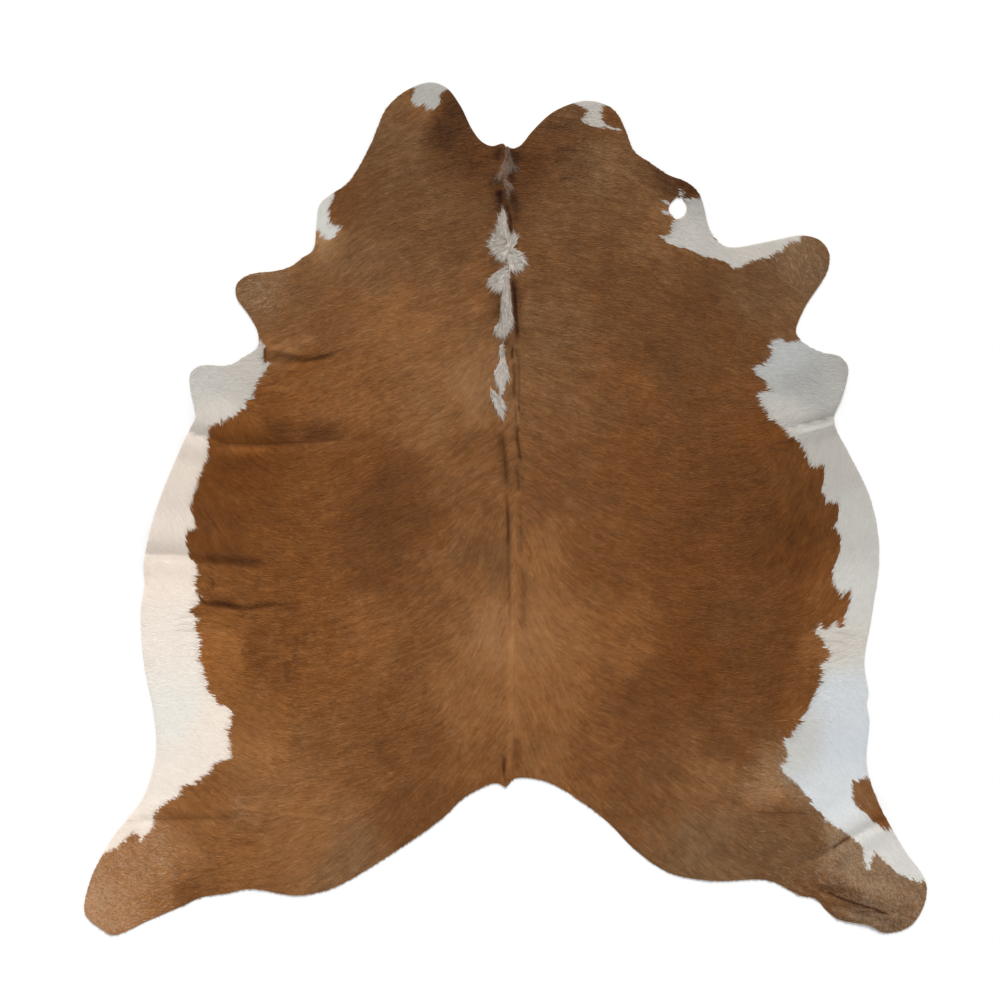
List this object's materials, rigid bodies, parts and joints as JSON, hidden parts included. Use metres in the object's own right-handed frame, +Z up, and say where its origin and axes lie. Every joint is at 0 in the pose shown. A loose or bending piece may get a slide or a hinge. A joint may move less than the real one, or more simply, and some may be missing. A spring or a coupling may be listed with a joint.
{
  "type": "cowhide rug",
  "caption": "Whole flat cowhide rug with short hair, an irregular leg-and-neck outline, low packing creases and a small worn hole.",
  "frame": {"origin": "on the floor, under the middle of the hide's outline", "axes": "+Z up, hair side up; +Y towards the neck; +X to the right of the spine seen from above"},
  "size_m": [2.19, 2.217, 0.015],
  "materials": {
    "coat": "short flat-lying hair, warm brown with white patches along the flanks, spine and cheeks",
    "suede": "matt cream flesh side"
  },
  "bodies": {
    "root": {"hide": "coat"}
  },
  "joints": []
}
